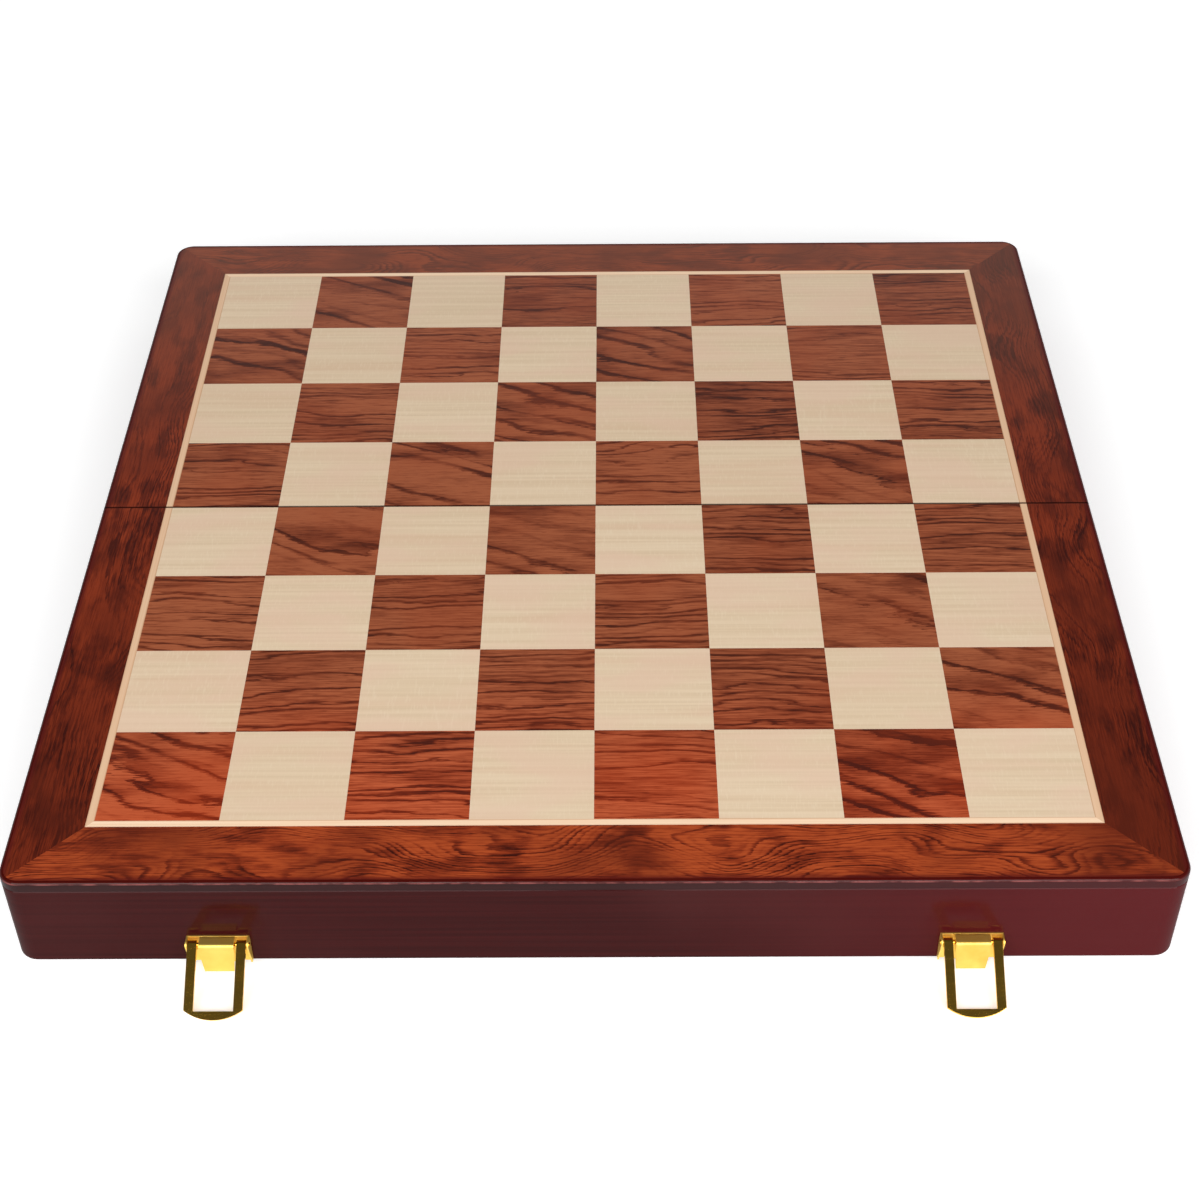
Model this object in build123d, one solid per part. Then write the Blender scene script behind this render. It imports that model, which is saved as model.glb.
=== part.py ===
from build123d import *
from math import asin, atan, cos, degrees, hypot, pi, radians, sin
import os

# Folding chess board: two hinged half cases with inlaid tops, piece trays, two butt hinges and two latches.
# X runs along the fold, Y away from the player on the latch side, Z up, all in millimetres.
# The origin is the middle of the fold axis, on the plane of the case rims.
# The board lies open, rims down, with both latch levers hanging out onto the table.

# Playing field and its veneers
squares_per_side = 8
square = 32.2
inlay_width = 2.1
border_width = 19.1
veneer_thickness = 0.6

# Half cases
wall = 10.0
rail_height = 27.0
panel_thickness = 3.0
corner_radius = 5.5
lip_width = 1.1
lip_round_share = 0.8
rim_round = 0.5
panel_groove = 0.4
seam_chamfer = 0.4
seam_gap = 0.4
overrun = 1.0

# Piece trays
lining_thickness = 0.8
lining_play = 0.2
tray_recess = 2.0
tray_rail_thickness = 6.9
tray_divider_thickness = 9.0
pawn_row_share = 0.367

# Hinges
hinge_setback = 55.0
hinge_length = 30.0
barrel_radius = 1.2
barrel_room = 0.3
hinge_pin_radius = 0.6
pin_play = 0.05
middle_knuckle_share = 0.36
knuckle_gap = 0.25
leaf_thickness = 0.9
leaf_recess = 0.1
leaf_margin = 1.5
leaf_fit = 0.1
leaf_screw_share = 0.3

# Screws
hinge_screw_head_radius = 1.5
hinge_screw_shank_radius = 0.7
latch_screw_head_radius = 1.1
latch_screw_shank_radius = 0.5
screw_end_wall = 3.0
screw_fit = 0.03
screw_facets = 12

# Latches
latch_setback = 53.4
latch_width = 16.2
latch_sheet = 0.45
latch_side_play = 0.15
latch_pin_radius = 0.6
latch_pin_proud = 0.2
pivot_height = 8.6
eye_radius = 1.25
eye_room = 0.35
base_foot = 0.4
base_foot_depth = 1.2
lever_reach = 19.3
lever_sheet = 1.1
lever_bar = 2.4
lever_tip_bar = 2.3
lever_tip_bow = 2.5
spring_sheet = 0.45
spring_play = 0.6
spring_bend = 0.6
spring_roof = 0.35
spring_room = 0.65
spring_flare = 0.6
spring_toe_height = 0.9
spring_toe_share = 0.82
latch_screw_edge = 0.6
latch_screw_height = 4.2

# Catches
catch_width = 13.0
catch_sheet = 0.8
catch_tail = 3.4
catch_head = 3.8
nose_width = 8.0
nose_length = 3.8
nose_proud = 3.4
nose_round = 0.7
nose_play = 0.6

# Sizes that follow
half_ranks = squares_per_side // 2
field = half_ranks * square
half_width = field + inlay_width + border_width
half_depth = half_width
inside = half_width - wall
top = rail_height + panel_thickness
veneer_floor = top - veneer_thickness
tray_roof = rail_height - lining_thickness
tray_clear_depth = inside - wall - 3 * tray_rail_thickness
pawn_row = tray_clear_depth * pawn_row_share
officer_row = tray_clear_depth - pawn_row
pocket_width = (2 * inside - (squares_per_side - 1) * tray_divider_thickness) / squares_per_side
hinge_offset = half_width - hinge_setback
leaf_depth = wall - leaf_margin
middle_knuckle = hinge_length * middle_knuckle_share
screw_length = wall - screw_end_wall
latch_offset = half_width - latch_setback
pivot_proud = latch_sheet + eye_room + eye_radius
lever_width = latch_width - 2 * (latch_sheet + latch_side_play)
window_width = lever_width - 2 * lever_bar
window_end = lever_reach - lever_tip_bar
spring_width = window_width - 2 * spring_play
spring_front = pivot_proud + eye_radius + spring_room
latch_screw_spread = spring_width - 2 * (latch_screw_head_radius + latch_screw_edge)
nose_top = window_end - pivot_height - nose_play
nose_bottom = nose_top - nose_length
lever_rise = eye_radius - lever_sheet
lever_drop = degrees(asin((pivot_height + barrel_radius) / hypot(lever_reach, lever_rise))
                     + atan(lever_rise / lever_reach))

UP = (0, 0, 1)
HINGE_SCREW = (hinge_screw_head_radius, hinge_screw_shank_radius)
LATCH_SCREW = (latch_screw_head_radius, latch_screw_shank_radius)
SIDES = {"front": -1, "back": 1}
HANDS = {"left": -1, "right": 1}


# Basic forms

def block(x_limits, y_limits, z_limits):
    """Box between two limits on each axis, given in either order."""
    limits = (x_limits, y_limits, z_limits)
    middle = [(first + second) / 2 for first, second in limits]
    size = [abs(second - first) for first, second in limits]
    return Pos(*middle) * Box(*size)


def prism(points, side, z_low, z_high):
    """Upright prism on a polygon that is drawn for the back half and mirrored for the front one."""
    outline = Polyline(*[(x, side * y) for x, y in points], close=True)
    return Pos(0, 0, z_low) * extrude(make_face(outline), z_high - z_low, dir=UP)


def rod(radius, x_low, x_high, y=0, z=0):
    """Round bar along X."""
    return Pos((x_low + x_high) / 2, y, z) * Rot(Y=90) * Cylinder(radius, x_high - x_low)


def half_plan(side, inset, seam_inset, radius):
    """Outline of one half from above, with its two outer corners rounded."""
    depth = half_depth - inset - seam_inset
    face = Pos(0, side * (seam_inset + depth / 2)) * Rectangle(2 * (half_width - inset), depth)
    outer_corners = sorted(face.vertices(), key=lambda corner: side * corner.Y)[-2:]
    return fillet(outer_corners, radius)


def away_from_seam(edges, side):
    """The edges of a half that don't lie at the fold."""
    return [edge for edge in edges if side * (edge @ 0.5).Y > max(seam_gap, seam_chamfer)]


def mitred_strips(side, inner, outer, z_low, z_high):
    """Left, right and outer strips of a three-sided frame that meet at 45 degrees."""
    start = seam_gap / 2
    left = [(-inner, start), (-outer, start), (-outer, outer), (-inner, inner)]
    right = [(-x, y) for x, y in left]
    far = [(-inner, inner), (inner, inner), (outer, outer), (-outer, outer)]
    return [prism(points, side, z_low, z_high) for points in (left, right, far)]


# Screws

def screw(kind, grow=0, mouth=0):
    """Countersunk screw pointing along +Z, its head's face at zero; grow and mouth make its hole."""
    head_radius, shank_radius = kind
    head = RegularPolygon(head_radius + grow, screw_facets)
    shank = RegularPolygon(shank_radius + grow, screw_facets)
    taper = degrees(atan(cos(pi / screw_facets)))
    body = extrude(head, head_radius - shank_radius, taper=taper) + extrude(shank, screw_length + grow)
    if mouth > 0:
        body += Pos(0, 0, -mouth) * extrude(head, mouth)
    return body


def at_screws(shape, places, direction):
    """Copies of a screw or a hole at each place, driven along a direction."""
    return [Plane(origin=place, z_dir=direction).location * shape for place in places]


def with_holes(body, kind, places, direction):
    """A body with a hole for one kind of screw at each place."""
    hole = screw(kind, screw_fit, overrun)
    for cut in at_screws(hole, places, direction):
        body -= cut
    return body


def hinge_screw_places(side):
    """Head centres of the screws in both leaves of one half."""
    y = side * (barrel_radius + leaf_depth) / 2
    reach = leaf_screw_share * hinge_length
    return [(hand * hinge_offset + step * reach, y, leaf_recess)
            for hand in HANDS.values() for step in (-1, 1)]


def latch_screw_places(hand):
    """Head centres of the two screws that hold a latch base and its spring."""
    y = -(half_depth + latch_sheet + spring_sheet)
    return [(hand * latch_offset + step * latch_screw_spread / 2, y, latch_screw_height)
            for step in (-1, 1)]


def catch_screw_places(hand):
    """Head centres of the screws above and below the nose of a catch."""
    heights = (nose_bottom - catch_tail / 2, nose_top + catch_head / 2)
    return [(hand * latch_offset, half_depth + catch_sheet, height) for height in heights]


# Half cases

def rail_blank(side):
    """Outer form that the four rails share: rounded corners, eased rim, fine groove under the panel."""
    body = extrude(half_plan(side, 0, 0, corner_radius), rail_height, dir=UP)
    seam_corners = [edge for edge in body.edges().filter_by(Axis.Z) if abs((edge @ 0.5).Y) < seam_gap]
    body = chamfer(seam_corners, seam_chamfer)
    body = chamfer(away_from_seam(body.edges().group_by(Axis.Z)[-1], side), panel_groove)
    return fillet(away_from_seam(body.edges().group_by(Axis.Z)[0], side), rim_round)


def rails(side):
    """The outer, left, right and seam rails of one half, mitred at all four corners."""
    far = half_width + overrun
    outlines = {
        "outer_rail": [(-inside, inside), (inside, inside), (far, far), (-far, far)],
        "left_rail": [(-inside, wall), (-far, -overrun), (-far, far), (-inside, inside)],
        "right_rail": [(inside, wall), (far, -overrun), (far, far), (inside, inside)],
        "seam_rail": [(-inside, wall), (inside, wall), (far, -overrun), (-far, -overrun)],
    }
    blank = rail_blank(side)
    return {name: blank & prism(points, side, -overrun, rail_height + overrun)
            for name, points in outlines.items()}


def hinge_ends(hand, extra):
    """Where one hinge begins and ends along X, lengthened by extra at both ends."""
    reach = hinge_length / 2 + extra
    return hand * hinge_offset - reach, hand * hinge_offset + reach


def hinge_mortises(side):
    """Room in a seam rail for the two hinge leaves and barrels."""
    cuts = []
    for hand in HANDS.values():
        ends = hinge_ends(hand, leaf_fit)
        cuts.append(block(ends, (-side * overrun, side * (leaf_depth + leaf_fit)),
                          (-overrun, leaf_recess + leaf_thickness)))
        cuts.append(rod(barrel_radius + barrel_room, *ends))
    return cuts


def top_panel(side):
    """Panel with a rounded lacquered lip round the recess that holds the veneers."""
    plan = half_plan(side, 0, seam_gap / 2, corner_radius)
    body = Pos(0, 0, rail_height) * extrude(plan, panel_thickness, dir=UP)
    body = fillet(away_from_seam(body.edges().group_by(Axis.Z)[-1], side), lip_width * lip_round_share)
    return body - veneer_field(side, -overrun, veneer_thickness + overrun)


def veneer_field(side, seam_inset, height):
    """The whole veneered area of one half as a slab on the recess floor."""
    plan = half_plan(side, lip_width, seam_inset, corner_radius - lip_width)
    return Pos(0, 0, veneer_floor) * extrude(plan, height, dir=UP)


def squares(side, shade):
    """The squares of one half that are dark, shade 0, or light, shade 1."""
    tiles = []
    for rank in range(half_ranks):
        near = max(rank * square, seam_gap / 2)
        far = (rank + 1) * square
        row = half_ranks + rank if side > 0 else half_ranks - 1 - rank
        for column in range(squares_per_side):
            if (row + column) % 2 == shade:
                x = column * square - field
                tiles.append(block((x, x + square), (side * near, side * far), (veneer_floor, top)))
    return tiles


def border(side):
    """The three border veneers of one half, cut to the rounded recess."""
    slab = veneer_field(side, 0, veneer_thickness)
    strips = mitred_strips(side, field + inlay_width, half_width, veneer_floor, top)
    return [strip & slab for strip in strips]


def tray(side):
    """Lining, cross rails and dividers of one half's piece tray."""
    lining = block((lining_play - inside, inside - lining_play),
                   (side * (wall + lining_play), side * (inside - lining_play)), (tray_roof, rail_height))
    starts = [wall]
    for row in (pawn_row, officer_row):
        starts.append(starts[-1] + tray_rail_thickness + row)
    cross_rails = [block((-inside, inside), (side * start, side * (start + tray_rail_thickness)),
                         (tray_recess, tray_roof)) for start in starts]
    dividers = []
    for start, row in zip(starts, (pawn_row, officer_row)):
        low = start + tray_rail_thickness
        for index in range(1, squares_per_side):
            x = index * (pocket_width + tray_divider_thickness) - inside
            dividers.append(block((x - tray_divider_thickness, x), (side * low, side * (low + row)),
                                  (tray_recess, tray_roof)))
    return lining, cross_rails, dividers


# Hinges

def hinge_leaf(hand, side):
    """One leaf: the back one has the two outer knuckles, the front one the middle knuckle."""
    x = hand * hinge_offset
    left, right = hinge_ends(hand, 0)
    split = middle_knuckle / 2
    knuckles = [(x - split, x + split)]
    if side > 0:
        knuckles = [(left, x - split - knuckle_gap), (x + split + knuckle_gap, right)]
    bore_radius = hinge_pin_radius + pin_play
    root = (bore_radius + barrel_radius) / 2
    start = barrel_radius + barrel_room
    depth = (leaf_recess, leaf_recess + leaf_thickness)
    leaf = block((left, right), (side * start, side * leaf_depth), depth)
    for span in knuckles:
        leaf += block(span, (side * root, side * start), depth) + rod(barrel_radius, *span)
    leaf -= rod(bore_radius, *hinge_ends(hand, overrun))
    places = [place for place in hinge_screw_places(side) if hand * place[0] > 0]
    return with_holes(leaf, HINGE_SCREW, places, UP)


def hinge_pin(hand):
    """Pin through the three knuckles of one hinge."""
    return rod(hinge_pin_radius, *hinge_ends(hand, 0))


# Latches and catches

def wall_plane(x, side):
    """Upright plane across a case wall: its X is the way out of the wall, its Y is up."""
    return Plane(origin=(x, side * half_depth, 0), x_dir=(0, side, 0), z_dir=(side, 0, 0))


def across(face, x, side, width):
    """A profile drawn on the wall plane, made as wide as given about its middle."""
    return extrude(wall_plane(x, side) * face, width / 2, both=True)


def polygon(points):
    """Flat face on a closed outline."""
    return make_face(Polyline(*points, close=True))


def latch_base(hand):
    """Sheet bracket with a back plate on the wall and two eyed cheeks for the lever's pin."""
    x = hand * latch_offset
    base_top = pivot_height + eye_radius
    plate = polygon([(0, base_foot), (latch_sheet, base_foot), (latch_sheet, base_top), (0, base_top)])
    cheek = polygon([(0, base_foot), (base_foot_depth, base_foot), (pivot_proud + eye_radius, pivot_height),
                     (pivot_proud, base_top), (0, base_top)])
    cheek += Pos(pivot_proud, pivot_height) * Circle(eye_radius)
    bracket = across(plate, x, -1, latch_width)
    for step in (-1, 1):
        bracket += across(cheek, x + step * (latch_width - latch_sheet) / 2, -1, latch_sheet)
    bracket -= rod(latch_pin_radius + pin_play, x - latch_width, x + latch_width,
                   -(half_depth + pivot_proud), pivot_height)
    return with_holes(bracket, LATCH_SCREW, latch_screw_places(hand), (0, 1, 0))


def latch_spring(hand):
    """Leaf spring that lies on the back plate, bends over the pin and hangs down as a tongue."""
    half = spring_sheet / 2
    tail = latch_sheet + half
    roof = pivot_height + eye_radius + spring_roof
    path = FilletPolyline((tail, base_foot), (tail, roof - half), (spring_front - half, roof - half),
                          (spring_front + spring_flare - half, spring_toe_height), radius=spring_bend)
    x = hand * latch_offset
    leaf = across(trace(path, spring_sheet), x, -1, spring_width)
    front = Plane(origin=(x, -(half_depth + pivot_proud), 0), x_dir=(1, 0, 0), z_dir=(0, -1, 0))
    edge = spring_width / 2
    top = pivot_height - eye_radius
    foot = spring_toe_height - overrun
    corners = ((edge, top), (edge + overrun, top), (edge + overrun, foot), (edge * spring_toe_share, foot))
    for step in (-1, 1):
        waste = front * polygon([(step * reach, height) for reach, height in corners])
        leaf -= extrude(waste, spring_front + spring_flare, dir=(0, -1, 0))
    return with_holes(leaf, LATCH_SCREW, latch_screw_places(hand), (0, 1, 0))


def latch_pin(hand):
    """Pin through both cheeks of a latch base."""
    reach = latch_width / 2 + latch_pin_proud
    x = hand * latch_offset
    return rod(latch_pin_radius, x - reach, x + reach, -(half_depth + pivot_proud), pivot_height)


def latch_lever(hand):
    """Window-shaped lever with an eye at each side bar, drooping until its bowed tip meets the table."""
    x = hand * latch_offset
    y = -(half_depth + pivot_proud)
    drop = radians(lever_drop)
    plane = Plane(origin=(x, y, pivot_height), x_dir=(1, 0, 0), z_dir=(0, sin(drop), -cos(drop)))
    edge = lever_width / 2
    shoulder = lever_reach - lever_tip_bow
    sides = Polyline((-edge, shoulder), (-edge, 0), (edge, 0), (edge, shoulder))
    frame = make_face([sides, ThreePointArc((edge, shoulder), (0, lever_reach), (-edge, shoulder))])
    frame -= Pos(0, window_end / 2) * Rectangle(window_width, window_end)
    lever = extrude(plane * Pos(0, 0, -eye_radius) * frame, lever_sheet)
    for step in (-1, 1):
        inner, outer = sorted((x + step * window_width / 2, x + step * edge))
        lever += rod(eye_radius, inner, outer, y, pivot_height)
    return lever - rod(latch_pin_radius + pin_play, x - latch_width, x + latch_width, y, pivot_height)


def catch(hand):
    """Catch plate with a rounded nose that the closed lever's window drops over."""
    x = hand * latch_offset
    foot = nose_bottom - catch_tail
    head = nose_top + catch_head
    plate = polygon([(0, foot), (catch_sheet, foot), (catch_sheet, head), (0, head)])
    nose = polygon([(0, nose_bottom), (catch_sheet, nose_bottom), (nose_proud, nose_top - nose_round),
                    (nose_proud, nose_top), (0, nose_top)])
    tip = [corner for corner in nose.vertices() if corner.X > catch_sheet]
    body = across(plate, x, 1, catch_width) + across(fillet(tip, nose_round / 2), x, 1, nose_width)
    return with_holes(body, LATCH_SCREW, catch_screw_places(hand), (0, -1, 0))


# Assembly

def half_nodes(name, side):
    """Every piece that one half case is made of, without its metal fittings."""
    case = rails(side)
    for cut in hinge_mortises(side):
        case["seam_rail"] -= cut
    case["seam_rail"] = with_holes(case["seam_rail"], HINGE_SCREW, hinge_screw_places(side), UP)
    fitting_places = catch_screw_places if side > 0 else latch_screw_places
    for hand in HANDS.values():
        places = fitting_places(hand)
        case["outer_rail"] = with_holes(case["outer_rail"], LATCH_SCREW, places, (0, -side, 0))
    lining, cross_rails, dividers = tray(side)
    case["top_panel"] = top_panel(side)
    case["dark_squares"] = squares(side, 0)
    case["light_squares"] = squares(side, 1)
    case["inlay"] = mitred_strips(side, field, field + inlay_width, veneer_floor, top)
    case["border"] = border(side)
    case["lining"] = lining
    case["tray_rails"] = cross_rails
    case["tray_dividers"] = dividers
    case["hinge_screws"] = at_screws(screw(HINGE_SCREW), hinge_screw_places(side), UP)
    return {f"{name}_{piece}": shape for piece, shape in case.items()}


def hand_nodes(name, hand):
    """The hinge, latch and catch on one hand."""
    return {
        f"{name}_hinge_back_leaf": hinge_leaf(hand, 1),
        f"{name}_hinge_front_leaf": hinge_leaf(hand, -1),
        f"{name}_hinge_pin": hinge_pin(hand),
        f"{name}_latch_base": latch_base(hand),
        f"{name}_latch_spring": latch_spring(hand),
        f"{name}_latch_pin": latch_pin(hand),
        f"{name}_latch_lever": latch_lever(hand),
        f"{name}_latch_screws": at_screws(screw(LATCH_SCREW), latch_screw_places(hand), (0, 1, 0)),
        f"{name}_catch": catch(hand),
        f"{name}_catch_screws": at_screws(screw(LATCH_SCREW), catch_screw_places(hand), (0, -1, 0)),
    }


nodes = {}
for half_name, half_side in SIDES.items():
    nodes |= half_nodes(half_name, half_side)
for hand_name, hand_side in HANDS.items():
    nodes |= hand_nodes(hand_name, hand_side)

os.makedirs("parts", exist_ok=True)
for node_name, node_shape in nodes.items():
    solids = node_shape if isinstance(node_shape, list) else [node_shape]
    pieces = [solid for shape in solids for solid in shape.solids()]
    export_step(Compound(pieces), f"parts/{node_name}.step")
print(len(nodes), "nodes, lever droop", round(lever_drop, 2), "degrees, pocket", round(pocket_width, 2),
      "by", round(pawn_row, 2), "and", round(officer_row, 2))
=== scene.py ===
import math
import random

import bmesh
import bpy
from mathutils import Matrix, Vector, noise


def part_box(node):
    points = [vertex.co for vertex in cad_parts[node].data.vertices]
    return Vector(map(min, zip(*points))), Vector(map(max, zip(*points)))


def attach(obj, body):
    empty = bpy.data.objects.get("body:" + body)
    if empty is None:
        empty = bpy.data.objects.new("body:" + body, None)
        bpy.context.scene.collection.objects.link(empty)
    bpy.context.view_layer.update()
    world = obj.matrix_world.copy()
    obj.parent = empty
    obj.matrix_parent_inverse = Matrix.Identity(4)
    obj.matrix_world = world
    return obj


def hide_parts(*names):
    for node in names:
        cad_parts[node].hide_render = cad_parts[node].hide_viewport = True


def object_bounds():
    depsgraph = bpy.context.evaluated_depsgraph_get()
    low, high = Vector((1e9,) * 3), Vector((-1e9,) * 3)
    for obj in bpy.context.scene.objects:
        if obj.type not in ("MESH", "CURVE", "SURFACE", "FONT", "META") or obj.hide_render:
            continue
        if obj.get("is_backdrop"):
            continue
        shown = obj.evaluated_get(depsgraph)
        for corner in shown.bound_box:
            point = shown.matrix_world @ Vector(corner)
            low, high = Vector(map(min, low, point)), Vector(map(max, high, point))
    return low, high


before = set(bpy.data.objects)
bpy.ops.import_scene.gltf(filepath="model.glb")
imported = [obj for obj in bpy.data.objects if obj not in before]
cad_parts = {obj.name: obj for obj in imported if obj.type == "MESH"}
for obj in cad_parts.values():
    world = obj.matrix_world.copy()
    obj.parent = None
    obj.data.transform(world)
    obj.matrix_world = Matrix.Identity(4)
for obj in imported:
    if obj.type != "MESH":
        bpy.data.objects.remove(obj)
cad_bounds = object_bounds()

# The folding chess board as it looks: wood, lacquer, metal and cloth on the pieces of the frame, with
# squares, felts and screws made anew, in a plain studio. All lengths are in metres.

# Sizes of the board, read from the frame
squares_per_side = 8
half_ranks = squares_per_side // 2
field_low, field_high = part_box("front_dark_squares")
square = (field_high.x - field_low.x) / squares_per_side
field = half_ranks * square
border_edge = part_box("front_border")[1].x
inlay_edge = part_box("front_inlay")[1].x
case_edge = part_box("front_top_panel")[1].x
case_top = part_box("front_top_panel")[1].z
floor_height = cad_bounds[0].z

# Camera: where it stands, and how it is turned, tilted and rolled
camera_eye = (0.005167, -0.488779, 0.422862)
camera_turn = math.radians(0.4841)
camera_tilt = math.radians(48.5703)
camera_roll = math.radians(-0.5893)
camera_lens = 61.766
camera_sensor = 36.0

# Studio: two soft boxes at the front, a pale floor and a sky that is bright low down and dim overhead
lamp_side = 0.58
lamp_front = 1.21
lamp_height = 0.98
lamp_width = 1.1
lamp_depth = 0.8
lamp_power = 16.0
floor_size = 12.0
floor_shade = 0.9
floor_glow = 0.38
far_floor_glow = 0.80
floor_glow_start, floor_glow_end = 0.30, 1.10
sky_bright_end = 0.38
sky_dim_start = 0.64
sky_dim_level = 0.06

# Dark squares with figured veneer, by column from the left and row from the front; the others are straight
figured_squares = {
    (0, 0), (6, 0), (7, 1), (6, 2), (1, 3), (3, 3),
    (2, 4), (6, 4), (3, 5), (0, 6), (4, 6), (1, 7),
}
figured_slope = math.radians(22)
straight_slope = math.radians(4)
tone_spread = 0.13

# Random draws: where they start, the range of the squares' seeds, and what sets lines and border strips apart
random_seed = 7
seed_range = 50.0
line_seed_step = 37.0
side_seed, back_seed, right_seed = 4.3, 2.6, 1.7

# Growth lines of the woods: spacing, thickness, and the step across them that shows how close they run
straight_spacing = 0.0027
figured_spacing = 0.0075
border_spacing = 0.0016
straight_line = 0.0015
figured_line = 0.0028
count_step = 0.0003

# Shares of the way from one line to the next: the widest line, its shaded side, and the lines of the border;
# the soft edge is a share of the line
widest_line_share = 0.8
shaded_side_share = 0.7
border_line_share, border_soft_share = 0.72, 0.16
soft_edge_share = 0.35

# How far the lines are bent, waved and toothed, counted in lines; the cross strips are the border's front
# and back, the side strips its left and right
straight_swirl, figured_swirl = 4.0, 2.6
cross_swirl, side_swirl = 32.0, 18.0
straight_drift, figured_drift, border_drift = 1.8, 0.7, 1.8
straight_wave, figured_wave, border_wave = 0.8, 0.5, 0.8
straight_teeth, figured_teeth = 0.55, 0.45
cross_teeth, side_teeth = 0.9, 1.5

# How strong things are on straight and on figured squares: the shaded side of each line, the lines between
# patches, the lines themselves, the fibres and the smoke
shade_shares = (0.20, 0.42)
least_shares = (0.50, 0.28)
depth_shares = (0.80, 1.25)
fibre_shares = (0.42, 0.30)
smoke_shares = (0.20, 0.32)

# On the border: the lines between patches, the lines themselves and the fibres; the smoke on cross and side
# strips; how dark a side strip is at its near end, from the fold on and more on the right, its lightening
# towards the fold being painted reflection, and how much of its figure is left; how pale the far ends of the
# sides and the far strip are, which is a painted reflection of the bright background
border_shares = (0.18, 0.66, 0.40)
border_smoke_shares = (0.30, 0.42)
side_near_share, side_fold_share, right_share = 0.54, 0.34, 0.07
side_figure_share = 0.60
reflection_side_share, reflection_far_share = 0.40, 0.55

# How much of the paler and darker tints shows in the woods
mottle_share, border_mottle_share = 0.30, 0.65
band_share, fleck_share, blush_share = 0.6, 0.35, 0.55
inlay_band_share, inlay_side_share = 0.4, 0.6
inner_glue_share, outer_glue_share = 0.6, 0.35

# Lengths along and across the grain of what bends, breaks and shades the lines
swirl_length, swirl_width = 0.040, 0.017
border_swirl_length, border_swirl_width = 0.046, 0.024
drift_length, drift_width = 0.090, 0.0050
wave_length, wave_width = 0.010, 0.0050
feather_length, feather_width = 0.0050, 0.00050
patch_length, patch_width = 0.034, 0.012
smoke_length, smoke_width = 0.032, 0.0100
border_smoke_length, border_smoke_width = 0.016, 0.0070
fibre_length, fibre_width = 0.010, 0.00040
pore_length, pore_width = 0.0030, 0.00022
band_length, band_width = 0.085, 0.0060
streak_width = 0.0012
fleck_length, fleck_width = 0.00044, 0.0030
blush_length, blush_width = 0.030, 0.015
mottle_length = 0.030
stain_width = 0.0016
seam_stain_width = 0.0005
glue_line = 0.0004

# Clear coats, how strong and how rough: on the veneers, the walls and the lips of the panels
veneer_coat, veneer_coat_roughness = 0.50, 0.09
wall_coat, wall_coat_roughness = 0.16, 0.10
lip_coat, lip_coat_roughness = 0.32, 0.08
veneer_specular = 0.04
wood_roughness, cloud_roughness = 0.40, 0.12
peel_length = 0.0035
fine_peel_length = 0.0014
peel_height = 0.00001

# Stains: how much of them shows at the fold, along the border, in clouds and to the right on the walls, on
# the side of the lip, where the deeper stain also paints in the dark reflection of its round, and on its top,
# and how much of the lip's edge is rubbed to a paler line that is also a painted highlight
seam_stain_share = 0.85
border_stain_share = 0.75
wall_cloud_share = 0.6
right_wall_share = 0.7
lip_stain_and_reflection_share = 0.45
lip_top_share = 0.6
least_rubbed_highlight_share, most_rubbed_highlight_share = 0.10, 0.70

# Lacquer, metal and cloth details
lacquer_streak_length, lacquer_streak_width = 0.12, 0.0012
wall_cloud_length = 0.11
# The lip's top stain and, just below it, the rubbed line that is also a painted highlight: its height below
# the top, its width and the length of its patches
lip_edge_height = 0.0005
lip_highlight_width = 0.0003
lip_highlight_length = 0.005
scratch_length, scratch_width = 0.012, 0.00012
scratch_depth = 0.0000005
smudge_length = 0.006
polished_roughness, satin_roughness = 0.06, 0.46
scratch_roughness, smudge_roughness = 0.08, 0.10
nap_length = 0.0006
nap_height = 0.00015
nap_specular = 0.1
nap_sheen, nap_sheen_roughness = 0.35, 0.4
nap_roughness, clump_roughness = 0.85, 0.1
clump_length = 0.008
clump_share = 0.4
felt_step = 0.003
felt_wave_length = 0.022
felt_wave = 0.00012
weld_distance = 0.000002
metal_edge, metal_edge_steps = 0.00012, 2
tray_edge, tray_edge_steps = 0.0012, 3
edge_angle = math.radians(32)
flat_angle = math.radians(1.0)
flat_face_weight = 90

# Screws: sides of the turned form, and shares of the head's radius
screw_sides = 28
thread_turns = 6
face_share = 0.90
rim_share = 0.10
shank_share = 0.55
root_share = 0.40
recess_reach_share = 0.60
recess_foot_share = 0.34
recess_half_width_share = 0.13
recess_depth_share = 0.45


def paint(red, green, blue):
    """A colour written as it looks on a screen, 0 to 255, as the linear colour that shaders take."""
    shares = [level / 255 for level in (red, green, blue)]
    linear = [share / 12.92 if share <= 0.04045 else ((share + 0.055) / 1.055) ** 2.4 for share in shares]
    return (*linear, 1.0)


# Wood tones from the palest to the darkest and the darkness that each stands for, and two tones for each gold
tone_shares = (0.0, 0.30, 0.65, 1.0)
dark_tones = (paint(163, 90, 58), paint(136, 69, 43), paint(98, 43, 25), paint(66, 28, 18))
border_tones = (paint(174, 76, 36), paint(142, 54, 25), paint(98, 32, 14), paint(56, 15, 8))
polished_gold = (paint(250, 200, 84), paint(240, 184, 66))
satin_gold = (paint(252, 222, 120), paint(242, 204, 94))
white = (1.0, 1.0, 1.0, 1.0)


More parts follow.
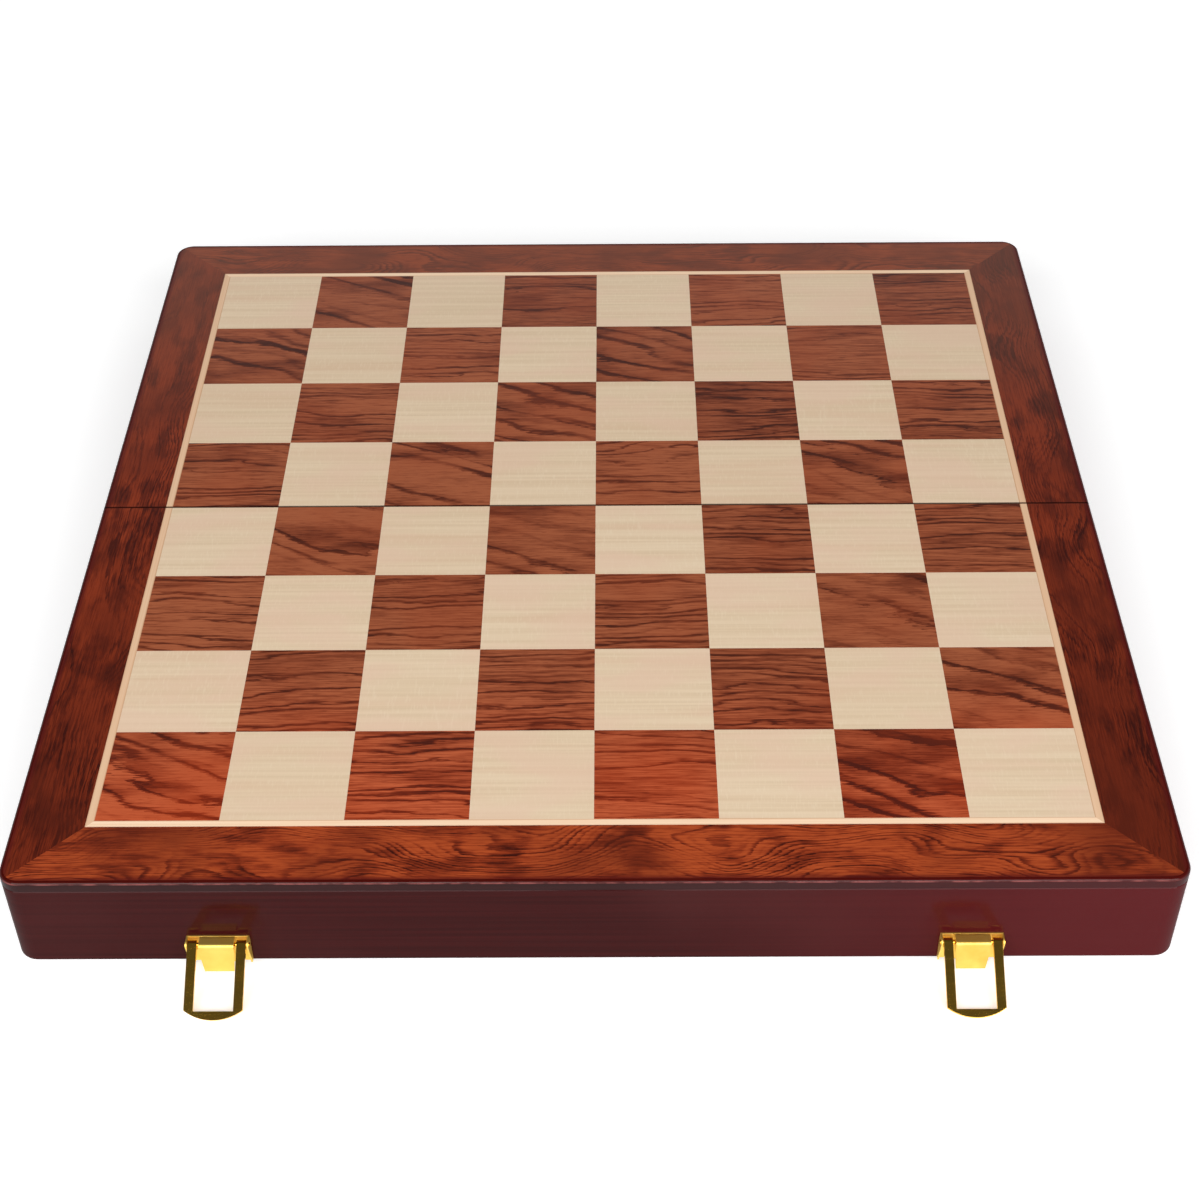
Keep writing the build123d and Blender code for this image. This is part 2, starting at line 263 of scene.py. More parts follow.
class Shader:
    """A node material, built up from small steps."""

    def __init__(self, name):
        self.material = bpy.data.materials.new(name)
        self.material.use_nodes = True
        self.tree = self.material.node_tree
        self.surface = self.tree.nodes["Principled BSDF"]
        self.place = self.add("ShaderNodeTexCoord").outputs["Object"]

    def put(self, socket, value):
        """Links a node's output to a socket, or sets the socket."""
        if isinstance(value, bpy.types.NodeSocket):
            self.tree.links.new(value, socket)
        else:
            socket.default_value = value

    def add(self, kind, inputs=(), **settings):
        """A new node with its settings and inputs."""
        node = self.tree.nodes.new(kind)
        for name, value in settings.items():
            setattr(node, name, value)
        for name, value in dict(inputs).items():
            self.put(node.inputs[name], value)
        return node

    def math(self, operation, first, second=0.0, third=0.0, clamp=False):
        """One step of reckoning with numbers."""
        inputs = {0: first, 1: second, 2: third}
        return self.add("ShaderNodeMath", inputs, operation=operation, use_clamp=clamp).outputs[0]

    def split(self, vector):
        """The x, y and z of a place."""
        return self.add("ShaderNodeSeparateXYZ", {0: vector}).outputs

    def stretch(self, along, across, along_length, across_length, seed=0.0):
        """A place in the wood, counted in lengths along and across its grain."""
        inputs = {
            "X": self.math("DIVIDE", along, along_length),
            "Y": self.math("DIVIDE", across, across_length),
            "Z": seed,
        }
        return self.add("ShaderNodeCombineXYZ", inputs).outputs[0]

    def noise(self, vector, detail=2.0, roughness=0.5, scale=1.0):
        """Soft random values, 0 to 1."""
        inputs = {"Vector": vector, "Scale": scale, "Detail": detail, "Roughness": roughness}
        return self.add("ShaderNodeTexNoise", inputs).outputs[0]

    def grain(self, along, across, lengths, seed=0.0, detail=2.0):
        """Noise drawn out along the grain."""
        return self.noise(self.stretch(along, across, *lengths, seed), detail)

    def smooth(self, value, low, high, start=0.0, end=1.0):
        """A number that eases from start to end while a value goes from low to high."""
        inputs = {"Value": value, "From Min": low, "From Max": high, "To Min": start, "To Max": end}
        return self.add("ShaderNodeMapRange", inputs, interpolation_type="SMOOTHSTEP").outputs[0]

    def mix(self, share, first, second):
        """A colour between two colours."""
        node = self.add("ShaderNodeMix", {0: share, 6: first, 7: second}, data_type="RGBA")
        return node.outputs[2]

    def choose(self, share, first, second):
        """A number between two numbers."""
        return self.add("ShaderNodeMix", {0: share, 2: first, 3: second}, data_type="FLOAT").outputs[0]

    def ramp(self, darkness, tones):
        """The wood tone that goes with a darkness."""
        node = self.add("ShaderNodeValToRGB", {0: darkness})
        elements = node.color_ramp.elements
        while len(elements) < len(tones):
            elements.new(0.0)
        for element, share, tone in zip(elements, tone_shares, tones):
            element.position = share
            element.color = tone
        return node.outputs[0]

    def bump(self, height, distance):
        """The way a surface faces when it has small heights."""
        return self.add("ShaderNodeBump", {"Height": height, "Distance": distance}).outputs[0]

    def finish(self, **values):
        """Sets the surface and gives back the material."""
        for name, value in values.items():
            self.put(self.surface.inputs[name.replace("_", " ")], value)
        return self.material


def face_value(shader, name):
    """A value that was written on the faces of a piece."""
    return shader.add("ShaderNodeAttribute", attribute_name=name).outputs["Fac"]


def line_count(shader, along, across, seed, spacing, swirl, swirl_lengths, drift):
    """How many growth lines lie below a place in the wood, with their long bends."""
    swirls = shader.grain(along, across, swirl_lengths, seed, detail=1.0)
    drifts = shader.grain(along, across, (drift_length, drift_width), seed, detail=1.0)
    count = shader.math("MULTIPLY_ADD", swirls, swirl, shader.math("DIVIDE", across, spacing))
    return shader.math("MULTIPLY_ADD", drifts, drift, count)


def growth_lines(shader, count, seed, reach, softness, shade=0.0):
    """Dark growth lines, 0 to 1: sharp on one side, fading on the other, each with its own strength."""
    phase = shader.math("FRACT", count)
    first_number = shader.math("MULTIPLY", shader.math("FLOOR", seed), line_seed_step)
    number = shader.math("ADD", shader.math("FLOOR", count), first_number)
    strength = shader.add("ShaderNodeTexWhiteNoise", {"W": number}, noise_dimensions="1D").outputs["Value"]
    fade = shader.smooth(phase, softness, reach, 1.0, 0.0)
    line = shader.math("MULTIPLY", shader.smooth(phase, 0.0, softness), fade)
    line = shader.math("MAXIMUM", line, shader.smooth(phase, 0.0, shaded_side_share, shade, 0.0))
    return shader.math("MULTIPLY", line, shader.smooth(strength, 0.1, 0.7, 0.15, 1.0))


def ragged(shader, count, along, across, seed, waviness, raggedness):
    """The count of growth lines, with waves and with teeth along the fibres."""
    wave = shader.grain(along, across, (wave_length, wave_width), seed)
    feather = shader.grain(along, across, (feather_length, feather_width), seed)
    count = shader.math("MULTIPLY_ADD", wave, waviness, count)
    return shader.math("MULTIPLY_ADD", feather, raggedness, count)


def wood_darkness(shader, along, across, seed, lines, least, depth, fibre):
    """How dark the wood is, 0 to 1: lines that come and go in patches, with fibres and pores all over."""
    patch = shader.grain(along, across, (patch_length, patch_width), seed, detail=1.0)
    lines = shader.math("MULTIPLY", lines, shader.smooth(patch, 0.32, 0.56, least, 1.0))
    fibres = shader.grain(along, across, (fibre_length, fibre_width), seed)
    pores = shader.grain(along, across, (pore_length, pore_width), seed, detail=0.0)
    fine = shader.math("MULTIPLY", shader.smooth(fibres, 0.3, 0.7), fibre)
    fine = shader.math("ADD", fine, shader.smooth(pores, 0.64, 0.74, 0.0, 0.22))
    return shader.math("MULTIPLY_ADD", lines, depth, fine, clamp=True)


def stained_at_seam(shader, colour, stain):
    """The cut edges at the fold, darkened by stain."""
    _, y, _ = shader.split(shader.place)
    distance = shader.math("ABSOLUTE", y)
    share = shader.smooth(distance, seam_stain_width / 2, seam_stain_width, seam_stain_share, 0.0)
    return shader.mix(share, colour, stain)


def lacquered(shader, colour, coat, coat_roughness, specular, length):
    """Colour under a clear coat with a faint unevenness, as brushed lacquer has."""
    peel = shader.noise(shader.place, scale=1 / length)
    cloud = shader.noise(shader.place, scale=1 / mottle_length, detail=3.0)
    return shader.finish(
        Base_Color=colour,
        Roughness=shader.math("MULTIPLY_ADD", cloud, cloud_roughness, wood_roughness),
        Specular_IOR_Level=specular,
        Coat_Weight=coat,
        Coat_Roughness=coat_roughness,
        Coat_Normal=shader.bump(peel, peel_height),
    )


def veneered(shader, colour):
    """The colour of a veneer, stained at the fold, under its lacquer."""
    colour = stained_at_seam(shader, colour, paint(36, 10, 5))
    return lacquered(shader, colour, veneer_coat, veneer_coat_roughness, veneer_specular, peel_length)


def dark_veneer():
    """Dark wood: level lines on straight squares, slanting veins on figured ones, redder at the front."""
    shader = Shader("dark_veneer")
    seed = face_value(shader, "seed")
    figure = face_value(shader, "figure")

    def wood(straight, figured):
        """A value for straight squares and one for figured squares."""
        return shader.choose(figure, straight, figured)

    inputs = {"Vector": shader.place, "Angle": face_value(shader, "slope")}
    turned = shader.add("ShaderNodeVectorRotate", inputs, rotation_type="Z_AXIS").outputs[0]
    along, across, _ = shader.split(turned)
    x, y, _ = shader.split(shader.place)
    spacing = wood(straight_spacing, figured_spacing)
    swirl = wood(straight_swirl, figured_swirl)
    drift = wood(straight_drift, figured_drift)
    bends = (seed, spacing, swirl, (swirl_length, swirl_width), drift)
    count = line_count(shader, along, across, *bends)
    beyond = line_count(shader, along, shader.math("ADD", across, count_step), *bends)
    closeness = shader.math("ABSOLUTE", shader.math("SUBTRACT", beyond, count))
    thickness = wood(straight_line / count_step, figured_line / count_step)
    reach = shader.math("MINIMUM", shader.math("MULTIPLY", closeness, thickness), widest_line_share)
    softness = shader.math("MULTIPLY", reach, soft_edge_share)
    wave = wood(straight_wave, figured_wave)
    teeth = wood(straight_teeth, figured_teeth)
    count = ragged(shader, count, x, y, seed, wave, teeth)
    lines = growth_lines(shader, count, seed, reach, softness, wood(*shade_shares))
    least, depth, fibre = wood(*least_shares), wood(*depth_shares), wood(*fibre_shares)
    darkness = wood_darkness(shader, x, y, seed, lines, least, depth, fibre)
    smoke = shader.grain(x, y, (smoke_length, smoke_width), seed, detail=6.0)
    smoke = shader.smooth(smoke, 0.44, 0.70, -0.08, wood(*smoke_shares))
    darkness = shader.math("ADD", darkness, smoke)
    darkness = shader.math("ADD", darkness, face_value(shader, "tone"), clamp=True)
    colour = shader.ramp(darkness, dark_tones)
    mottle = shader.noise(shader.place, scale=1 / mottle_length)
    colour = shader.mix(shader.smooth(mottle, 0.40, 0.75, 0.0, mottle_share), colour, paint(150, 64, 34))
    inputs = {"Hue": 0.492, "Saturation": 1.05, "Value": 1.42, "Color": colour}
    redder = shader.add("ShaderNodeHueSaturation", inputs).outputs[0]
    colour = shader.mix(shader.smooth(y, -field, -field / 2, 1.0, 0.0), colour, redder)
    return veneered(shader, colour)


def light_veneer():
    """Pale wood with level streaks and bands, small flecks and a faint blush."""
    shader = Shader("light_veneer")
    seed = face_value(shader, "seed")
    along, across, _ = shader.split(shader.place)
    streaks = shader.grain(along, across, (band_length, streak_width), seed, detail=3.0)
    bands = shader.grain(along, across, (band_length, band_width), seed)
    blush = shader.grain(along, across, (blush_length, blush_width), seed, detail=3.0)
    flecks = shader.grain(along, across, (fleck_length, fleck_width), seed, detail=1.0)
    colour = shader.mix(shader.smooth(streaks, 0.3, 0.75), paint(229, 206, 176), paint(218, 193, 161))
    colour = shader.mix(shader.smooth(bands, 0.45, 0.75, 0.0, band_share), colour, paint(220, 188, 158))
    colour = shader.mix(shader.smooth(flecks, 0.5, 0.8, 0.0, fleck_share), colour, paint(236, 217, 190))
    colour = shader.mix(shader.smooth(blush, 0.42, 0.66, 0.0, blush_share), colour, paint(228, 195, 170))
    colour = shader.mix(face_value(shader, "tone"), colour, paint(206, 180, 148))
    return veneered(shader, colour)


def piece_of_frame(shader):
    """Where a place is in a mitred frame: along and across its strip, and which strip that is."""
    x, y, _ = shader.split(shader.place)
    wide, deep = shader.math("ABSOLUTE", x), shader.math("ABSOLUTE", y)
    cross_strip = shader.math("GREATER_THAN", deep, wide)
    along = shader.choose(cross_strip, y, x)
    across = shader.choose(cross_strip, x, y)
    right = shader.math("GREATER_THAN", x, 0.0)
    back = shader.math("GREATER_THAN", y, 0.0)
    side = shader.math("SUBTRACT", 1.0, cross_strip)
    far_strip = shader.math("MULTIPLY", cross_strip, back)
    seed = shader.math("MULTIPLY_ADD", side, side_seed, shader.math("MULTIPLY", back, back_seed))
    seed = shader.math("MULTIPLY_ADD", shader.math("MULTIPLY", side, right), right_seed, seed)
    reach = shader.math("MAXIMUM", wide, deep)
    return along, across, seed, reach, side, right, far_strip


def border_veneer():
    """Swirling wood, darker on the side strips, stained along its outer edge, with a painted reflection that
    pales the far side and lightens the side strips towards it.
    """
    shader = Shader("border_veneer")
    along, across, seed, reach, side, right, far_strip = piece_of_frame(shader)
    lengths = (border_swirl_length, border_swirl_width)
    swirl = shader.choose(side, cross_swirl, side_swirl)
    count = line_count(shader, along, across, seed, border_spacing, swirl, lengths, border_drift)
    teeth = shader.choose(side, cross_teeth, side_teeth)
    count = ragged(shader, count, along, across, seed, border_wave, teeth)
    lines = growth_lines(shader, count, seed, border_line_share, border_soft_share)
    darkness = wood_darkness(shader, along, across, seed, lines, *border_shares)
    smoke = shader.grain(along, across, (border_smoke_length, border_smoke_width), seed, detail=6.0)
    smoke = shader.smooth(smoke, 0.44, 0.66, -0.14, shader.choose(side, *border_smoke_shares))
    darkness = shader.math("ADD", darkness, smoke, clamp=True)
    # Side strips are darker at the near end and lighter towards the fold: partly painted reflection, which
    # grows towards the back
    shade = shader.smooth(along, -field, 0.0, side_near_share, side_fold_share)
    shade = shader.math("MULTIPLY_ADD", right, right_share, shade)
    side_darkness = shader.math("MULTIPLY_ADD", darkness, side_figure_share, shade)
    darkness = shader.choose(side, darkness, side_darkness)
    colour = shader.ramp(darkness, border_tones)
    mottle = shader.noise(shader.place, scale=1 / mottle_length, detail=3.0)
    mottled = shader.smooth(mottle, 0.42, 0.68, 0.0, border_mottle_share)
    colour = shader.mix(mottled, colour, paint(98, 34, 16))
    # Painted reflection of the bright background: the far ends of the side strips and the far strip turn
    # paler and greyer
    painted_reflection = shader.math("MULTIPLY", side, shader.smooth(along, 0.0, field, 0.0, reflection_side_share))
    painted_reflection = shader.math("MULTIPLY_ADD", far_strip, reflection_far_share, painted_reflection)
    colour = shader.mix(painted_reflection, colour, paint(116, 68, 48))
    edge = shader.smooth(reach, border_edge - stain_width, border_edge, 0.0, border_stain_share)
    colour = shader.mix(edge, colour, paint(84, 18, 16))
    return veneered(shader, colour)


def inlay_veneer():
    """Pale line of wood, darker on the sides, with glue lines along its edges."""
    shader = Shader("inlay_veneer")
    along, across, seed, reach, side, _, _ = piece_of_frame(shader)
    streaks = shader.grain(along, across, (band_length, fibre_width), seed, detail=3.0)
    bands = shader.grain(along, across, (band_length, band_width), seed)
    colour = shader.mix(shader.smooth(streaks, 0.3, 0.75), paint(252, 222, 190), paint(240, 202, 166))
    colour = shader.mix(shader.smooth(bands, 0.5, 0.8, 0.0, inlay_band_share), colour, paint(236, 192, 154))
    colour = shader.mix(shader.math("MULTIPLY", side, inlay_side_share), colour, paint(214, 170, 132))
    inner = shader.smooth(reach, field, field + glue_line, inner_glue_share, 0.0)
    outer = shader.smooth(reach, inlay_edge - glue_line, inlay_edge, 0.0, outer_glue_share)
    colour = shader.mix(shader.math("ADD", inner, outer), colour, paint(176, 118, 78))
    return veneered(shader, colour)


def case_lacquer(name, coat, coat_roughness, stain_and_reflection_share):
    """Dark stain under lacquer: streaked, redder to the right and on top, and rubbed along the lip's edge to
    a paler line that is also a painted highlight.
    """
    shader = Shader(name)
    stain = paint(14, 4, 4)
    x, y, z = shader.split(shader.place)
    lengths = (lacquer_streak_length, lacquer_streak_width)
    streaks = shader.grain(shader.math("ADD", x, y), z, lengths, detail=3.0)
    cloud = shader.noise(shader.place, scale=1 / wall_cloud_length, detail=3.0)
    colour = shader.mix(shader.smooth(streaks, 0.25, 0.75), paint(56, 14, 14), paint(45, 10, 10))
    colour = shader.mix(shader.smooth(cloud, 0.42, 0.62, 0.0, wall_cloud_share), colour, paint(64, 26, 25))
    colour = shader.mix(shader.smooth(x, 0.0, case_edge, 0.0, right_wall_share), colour, paint(84, 20, 24))
    # On the lip panels, a deeper stain that also paints in the dark reflection of the lip's round
    colour = shader.mix(stain_and_reflection_share, colour, stain)
    top = shader.smooth(z, case_top - lip_edge_height, case_top, 0.0, lip_top_share)
    colour = shader.mix(top, colour, paint(80, 14, 6))
    # A paler pink line along the lip's round, just below its top: rubbed lacquer and a painted highlight of
    # the soft boxes
    worn_highlight = shader.noise(shader.place, scale=1 / lip_highlight_length, detail=4.0)
    depth = shader.math("ABSOLUTE", shader.math("SUBTRACT", case_top - lip_edge_height, z))
    rubbed_highlight = shader.smooth(worn_highlight, 0.38, 0.62, least_rubbed_highlight_share, most_rubbed_highlight_share)
    worn_highlight = shader.math("MULTIPLY", rubbed_highlight, shader.smooth(depth, 0.0, lip_highlight_width, 1.0, 0.0))
    colour = shader.mix(worn_highlight, colour, paint(148, 80, 76))
    colour = stained_at_seam(shader, colour, stain)
    return lacquered(shader, colour, coat, coat_roughness, 0.0, fine_peel_length)


def gold_metal(name, least_roughness, pale, deep):
    """Gold plate with fine scratches and faint smudges."""
    shader = Shader(name)
    x, y, z = shader.split(shader.place)
    scratches = shader.grain(x, shader.math("ADD", y, z), (scratch_length, scratch_width))
    smudges = shader.noise(shader.place, scale=1 / smudge_length, detail=3.0)
    colour = shader.mix(shader.smooth(smudges, 0.3, 0.8), pale, deep)
    scratched = shader.smooth(scratches, 0.45, 0.8)
    roughness = shader.math("MULTIPLY_ADD", scratched, scratch_roughness, least_roughness)
    return shader.finish(
        Base_Color=colour,
        Metallic=1.0,
        Roughness=shader.math("MULTIPLY_ADD", smudges, smudge_roughness, roughness),
        Normal=shader.bump(scratches, scratch_depth),
    )


def napped(name, deep, pale):
    """Felt or flock: short fibres that lie in patches, with a soft sheen."""
    shader = Shader(name)
    nap = shader.noise(shader.place, scale=1 / nap_length, detail=3.0, roughness=0.7)
    clumps = shader.noise(shader.place, scale=1 / clump_length, detail=3.0)
    colour = shader.mix(shader.smooth(nap, 0.3, 0.75), deep, pale)
    colour = shader.mix(shader.smooth(clumps, 0.35, 0.7, 0.0, clump_share), colour, deep)
    return shader.finish(
        Base_Color=colour,
        Roughness=shader.math("MULTIPLY_ADD", clumps, clump_roughness, nap_roughness),
        Specular_IOR_Level=nap_specular,
        Sheen_Weight=nap_sheen,
        Sheen_Roughness=nap_sheen_roughness,
        Sheen_Tint=pale,
        Normal=shader.bump(nap, nap_height),
    )


def floor_paint():
    """Pale floor that the camera and reflections see as white, with the object's shadow on it."""
    shader = Shader("floor_paint")
    path = shader.add("ShaderNodeLightPath").outputs
    seen = shader.math("ADD", path["Is Camera Ray"], path["Is Glossy Ray"])
    seen = shader.math("ADD", seen, path["Is Transmission Ray"], clamp=True)
    distance = shader.add("ShaderNodeVectorMath", {0: shader.place}, operation="LENGTH").outputs["Value"]
    glow = shader.smooth(distance, floor_glow_start, floor_glow_end, floor_glow, far_floor_glow)
    return shader.finish(
        Base_Color=(floor_shade, floor_shade, floor_shade, 1.0),
        Roughness=1.0,
        Specular_IOR_Level=0.0,
        Emission_Color=white,
        Emission_Strength=shader.math("MULTIPLY", seen, glow),
    )


def mesh_object(name, build):
    """A new object whose mesh is made by a function that fills a bmesh."""
    mesh = bpy.data.meshes.new(name)
    shape = bmesh.new()
    build(shape)
    bmesh.ops.recalc_face_normals(shape, faces=shape.faces)
    shape.to_mesh(mesh)
    shape.free()
    mesh.shade_smooth()
    mesh.set_sharp_from_angle(angle=edge_angle)
    piece = bpy.data.objects.new(name, mesh)
    bpy.context.scene.collection.objects.link(piece)
    return piece


def dress(piece, material):
    """Gives a piece one material."""
    piece.data.materials.clear()
    piece.data.materials.append(material)


def stand_in(name, build, node, slot, body):
    """A new piece that takes the place of a node, in the finish of its slot, and moves with its body."""
    piece = mesh_object(name, build)
    dress(piece, materials[slot])
    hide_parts(node)
    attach(piece, body)
    return piece


def half_tiles(half, dark, rng):
    """The tiles of one half in one colour: their corners in the plane and what marks each one."""
    low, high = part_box(f"{half}_dark_squares")
    first_row = 0 if half == "front" else half_ranks
    for row in range(first_row, first_row + half_ranks):
        for column in range(squares_per_side):
            seed = rng.uniform(0.0, seed_range)
            tone = rng.uniform(-tone_spread, tone_spread)
            if ((row + column) % 2 == 0) != dark:
                continue
            left = -field + column * square
            front = max(-field + row * square, low.y)
            behind = min(-field + (row + 1) * square, high.y)
            figured = (column, row) in figured_squares
            slope = figured_slope if figured else straight_slope * (seed % 2 - 1)
            marks = {"seed": seed, "tone": tone, "figure": float(figured), "slope": slope}
            yield (left, front, left + square, behind), marks


def square_tiles(half, dark, rng):
    """The veneer squares of one half in one colour, each with its own cut of the wood."""
    slot = "dark_veneer" if dark else "light_veneer"
    node = f"{half}_dark_squares" if dark else f"{half}_light_squares"
    low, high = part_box(node)

    def build(shape):
        names = ("seed", "tone", "figure", "slope")
        layers = {name: shape.faces.layers.float.new(name) for name in names}
        for (left, front, right, behind), marks in half_tiles(half, dark, rng):
            centre = Vector(((left + right) / 2, (front + behind) / 2, (low.z + high.z) / 2))
            size = Vector((right - left, behind - front, high.z - low.z))
            place = Matrix.Translation(centre) @ Matrix.Diagonal((*size, 1.0))
            corners = bmesh.ops.create_cube(shape, size=1.0, matrix=place)["verts"]
            for face in {face for corner in corners for face in corner.link_faces}:
                for name in names:
                    face[layers[name]] = marks[name]

    stand_in(f"{node}_veneer", build, node, slot, f"{half}_half")


def solids_of(node):
    """The lowest and highest corners of each separate solid of a node, in a steady order."""
    shape = bmesh.new()
    shape.from_mesh(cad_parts[node].data)
    bmesh.ops.remove_doubles(shape, verts=shape.verts, dist=weld_distance)
    waiting = set(shape.verts)
    boxes = []
    while waiting:
        edge_of_search = [waiting.pop()]
        found = list(edge_of_search)
        while edge_of_search:
            corner = edge_of_search.pop()
            near = {link.other_vert(corner) for link in corner.link_edges} & waiting
            waiting -= near
            edge_of_search.extend(near)
            found.extend(near)
        axes = list(zip(*(corner.co for corner in found)))
        boxes.append((Vector(map(min, axes)), Vector(map(max, axes))))
    shape.free()
    return sorted(boxes, key=lambda box: tuple(box[0]))


def turned_ring(shape, radius, height):
    """A level ring of corners round the screw's axis."""
    angles = [2 * math.pi * index / screw_sides for index in range(screw_sides)]
    return [shape.verts.new((radius * math.cos(a), radius * math.sin(a), height)) for a in angles]


def cross_ring(shape, reach, half_width, height):
    """The outline of a cross recess, arm by arm."""
    corners = []
    for quarter in range(4):
        turn = Matrix.Rotation(quarter * math.pi / 2, 2)
        corners += [turn @ Vector(corner) for corner in ((reach, -half_width), (reach, half_width))]
        corners.append(turn @ Vector((half_width, half_width)))
    return [shape.verts.new((*corner, height)) for corner in corners]


def join_rings(shape, first, second):
    """Faces between two rings with as many corners."""
    for index in range(len(first)):
        after = (index + 1) % len(first)
        shape.faces.new((first[index], first[after], second[after], second[index]))


def ring_edges(shape, ring):
    """The edges that run round a ring."""
    return [shape.edges.get((ring[index - 1], ring[index])) for index in range(len(ring))]


def add_screw(shape, head, length, place):
    """A countersunk screw with a cross recess and a threaded shank, pointing down from its face at zero."""
    shank, root = head * shank_share, head * root_share
    neck = shank - head
    pitch = (length + neck) / (thread_turns + 1)
    profile = [
        (head * face_share, 0),
        (head, -head * rim_share),
        (shank, neck - head * rim_share),
    ]
    for turn in range(thread_turns):
        top = neck - head * rim_share - turn * pitch
        profile += [(root, top - pitch / 4), (shank, top - pitch / 2), (root, top - pitch * 3 / 4)]
    profile.append((root / thread_turns, -length))
    rings = [turned_ring(shape, radius, height) for radius, height in profile]
    for first, second in zip(rings, rings[1:]):
        join_rings(shape, first, second)
    shape.faces.new(rings[-1])
    half_width = head * recess_half_width_share
    mouth = cross_ring(shape, head * recess_reach_share, half_width, 0)
    foot = cross_ring(shape, head * recess_foot_share, half_width, -head * recess_depth_share)
    join_rings(shape, mouth, foot)
    shape.faces.new(foot)
    rim = ring_edges(shape, rings[0]) + ring_edges(shape, mouth)
    bmesh.ops.triangle_fill(shape, edges=rim, use_beauty=True)
    corners = [corner for ring in (*rings, mouth, foot) for corner in ring]
    bmesh.ops.transform(shape, matrix=place, verts=corners)


def screws(node, heads_to, body, rng):
    """Turned screws in place of a node's plain ones, each left at its own angle."""
    outwards = Vector(heads_to)

    def build(shape):
        for low, high in solids_of(node):
            size = high - low
            length = abs(size.dot(outwards))
            head = min(size) / 2
            face = (low + high) / 2 + outwards * length / 2
            aim = outwards.to_track_quat("Z", "Y").to_matrix().to_4x4()
            turn = Matrix.Rotation(rng.uniform(0, math.pi / 2), 4, "Z")
            add_screw(shape, head, length, Matrix.Translation(face) @ aim @ turn)

    stand_in(f"{node}_turned", build, node, "gold_metal", body)


def felt(half):
    """The felt on the roof of a half: a thin sheet that isn't quite flat."""
    node = f"{half}_lining"
    low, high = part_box(node)
    size = high - low

    def build(shape):
        steps = [round(length / felt_step) for length in (size.x, size.y)]
        place = Matrix.Translation(((low.x + high.x) / 2, (low.y + high.y) / 2, low.z))
        place = place @ Matrix.Diagonal((size.x, size.y, 1.0, 1.0))
        bmesh.ops.create_grid(shape, x_segments=steps[0], y_segments=steps[1], size=0.5, matrix=place)
        for corner in shape.verts:
            corner.co.z += felt_wave * (1 + noise.noise(corner.co / felt_wave_length))

    piece = stand_in(f"{node}_felt", build, node, "lining_felt", f"{half}_half")


def soften(node, width, steps):
    """Small round edges on a node that stays as it is."""
    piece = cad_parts[node]
    weld = piece.modifiers.new("weld", "WELD")
    weld.merge_threshold = weld_distance
    flat = piece.modifiers.new("flat", "DECIMATE")
    flat.decimate_type = "DISSOLVE"
    flat.angle_limit = flat_angle
    bevel = piece.modifiers.new("edge", "BEVEL")
    bevel.width = width
    bevel.segments = steps
    bevel.limit_method = "ANGLE"
    bevel.angle_limit = edge_angle
    normals = piece.modifiers.new("normals", "WEIGHTED_NORMAL")
    normals.weight = flat_face_weight


def lamp(name, place):
    """A soft box that faces the middle of the board."""
    light = bpy.data.lights.new(name, "AREA")
    light.shape = "RECTANGLE"
    light.size = lamp_width
    light.size_y = lamp_depth
    light.energy = lamp_power
    piece = bpy.data.objects.new(name, light)
    piece.location = place
    piece.rotation_euler = (-Vector(place)).to_track_quat("-Z", "Y").to_euler()
    bpy.context.scene.collection.objects.link(piece)


def sky():
    """Light from all round: bright near the horizon, dim overhead."""
    world = bpy.data.worlds.new("sky")
    bpy.context.scene.world = world
    world.use_nodes = True
    tree = world.node_tree
    direction = tree.nodes.new("ShaderNodeTexCoord").outputs["Generated"]
    height = tree.nodes.new("ShaderNodeSeparateXYZ")
    tree.links.new(direction, height.inputs[0])
    level = tree.nodes.new("ShaderNodeMapRange")
    level.interpolation_type = "SMOOTHSTEP"
    values = {"From Min": sky_bright_end, "From Max": sky_dim_start, "To Min": 1.0, "To Max": sky_dim_level}
    for name, value in values.items():
        level.inputs[name].default_value = value
    tree.links.new(height.outputs["Z"], level.inputs["Value"])
    background = tree.nodes["Background"]
    background.inputs["Color"].default_value = white
    tree.links.new(level.outputs[0], background.inputs["Strength"])


def camera():
    """The camera, turned, tilted and rolled where it stands."""
    data = bpy.data.cameras.new("camera")
    data.lens = camera_lens
    data.sensor_width = camera_sensor
    piece = bpy.data.objects.new("camera", data)
    turn = Matrix.Rotation(camera_turn, 4, "Z")
    tilt = Matrix.Rotation(camera_tilt, 4, "X")
    roll = Matrix.Rotation(camera_roll, 4, "Z")
    piece.matrix_world = Matrix.Translation(camera_eye) @ turn @ tilt @ roll
    bpy.context.scene.collection.objects.link(piece)
    bpy.context.scene.camera = piece


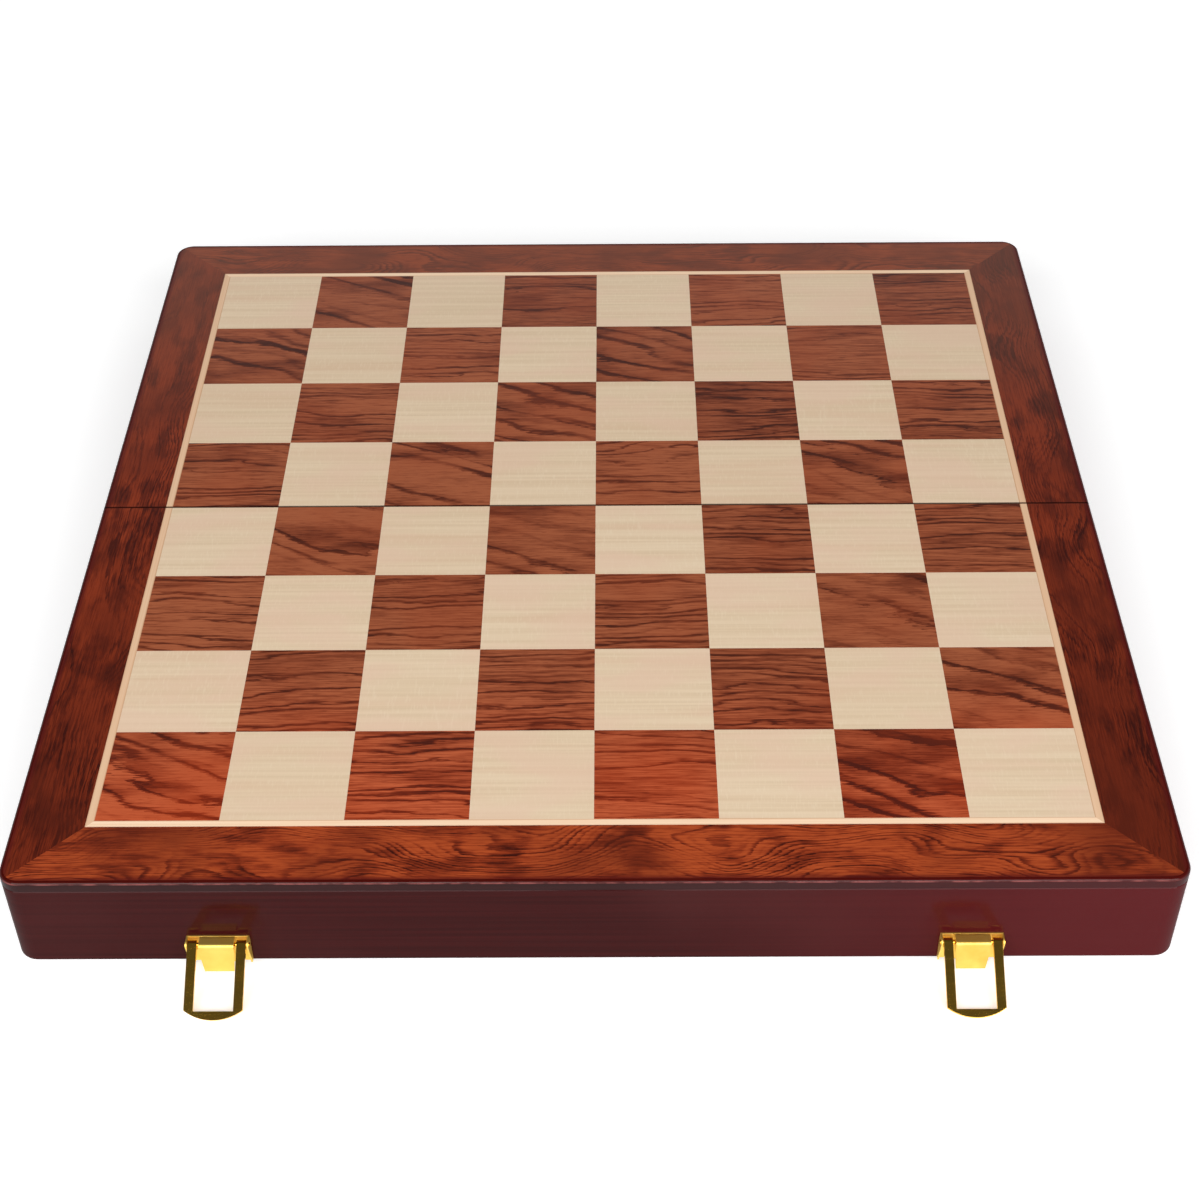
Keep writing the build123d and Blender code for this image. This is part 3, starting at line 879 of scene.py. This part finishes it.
materials = {
    "dark_veneer": dark_veneer(),
    "light_veneer": light_veneer(),
    "border_veneer": border_veneer(),
    "inlay_veneer": inlay_veneer(),
    "case_lacquer": case_lacquer("case_lacquer", wall_coat, wall_coat_roughness, 0.0),
    "lip_lacquer": case_lacquer("lip_lacquer", lip_coat, lip_coat_roughness, lip_stain_and_reflection_share),
    "gold_metal": gold_metal("gold_metal", polished_roughness, *polished_gold),
    "satin_metal": gold_metal("satin_metal", satin_roughness, *satin_gold),
    "lining_felt": napped("lining_felt", paint(24, 24, 25), paint(58, 58, 60)),
    "tray_flock": napped("tray_flock", paint(22, 22, 23), paint(52, 52, 54)),
}

# Every node takes the finish of its slot; panels have a deeper stain, which also paints in the dark
# reflection along the lip's round, and more gloss than the rails, and the springs and bases of the latches
# are satin
node_endings = {
    "dark_squares": "dark_veneer",
    "light_squares": "light_veneer",
    "border": "border_veneer",
    "inlay": "inlay_veneer",
    "lining": "lining_felt",
    "tray_rails": "tray_flock",
    "tray_dividers": "tray_flock",
    "rail": "case_lacquer",
    "panel": "lip_lacquer",
    "latch_spring": "satin_metal",
    "latch_base": "satin_metal",
}
for node_name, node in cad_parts.items():
    kind = next((kind for ending, kind in node_endings.items() if node_name.endswith(ending)), "gold_metal")
    dress(node, materials[kind])

rng = random.Random(random_seed)
for half in ("front", "back"):
    square_tiles(half, True, rng)
    square_tiles(half, False, rng)
    felt(half)
    screws(f"{half}_hinge_screws", (0, 0, -1), f"{half}_half", rng)
    for part in ("tray_rails", "tray_dividers"):
        soften(f"{half}_{part}", tray_edge, tray_edge_steps)

for hand in ("left", "right"):
    for part in ("latch_base", "latch_spring", "latch_lever", "catch", "hinge_back_leaf", "hinge_front_leaf"):
        soften(f"{hand}_{part}", metal_edge, metal_edge_steps)
    screws(f"{hand}_latch_screws", (0, -1, 0), "front_half", rng)
    screws(f"{hand}_catch_screws", (0, 1, 0), "back_half", rng)

floor = mesh_object("floor", lambda shape: bmesh.ops.create_grid(shape, size=floor_size / 2))
floor.location.z = floor_height
dress(floor, floor_paint())
floor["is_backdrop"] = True

sky()
for side, hand in ((-1, "left"), (1, "right")):
    lamp(f"soft_box_{hand}", (side * lamp_side, -lamp_front, lamp_height))
camera()
bpy.context.scene.view_settings.view_transform = "Standard"

boxes = {"cad": cad_bounds, "visual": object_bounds()}
{name: [list(corner) for corner in corners] for name, corners in boxes.items()}
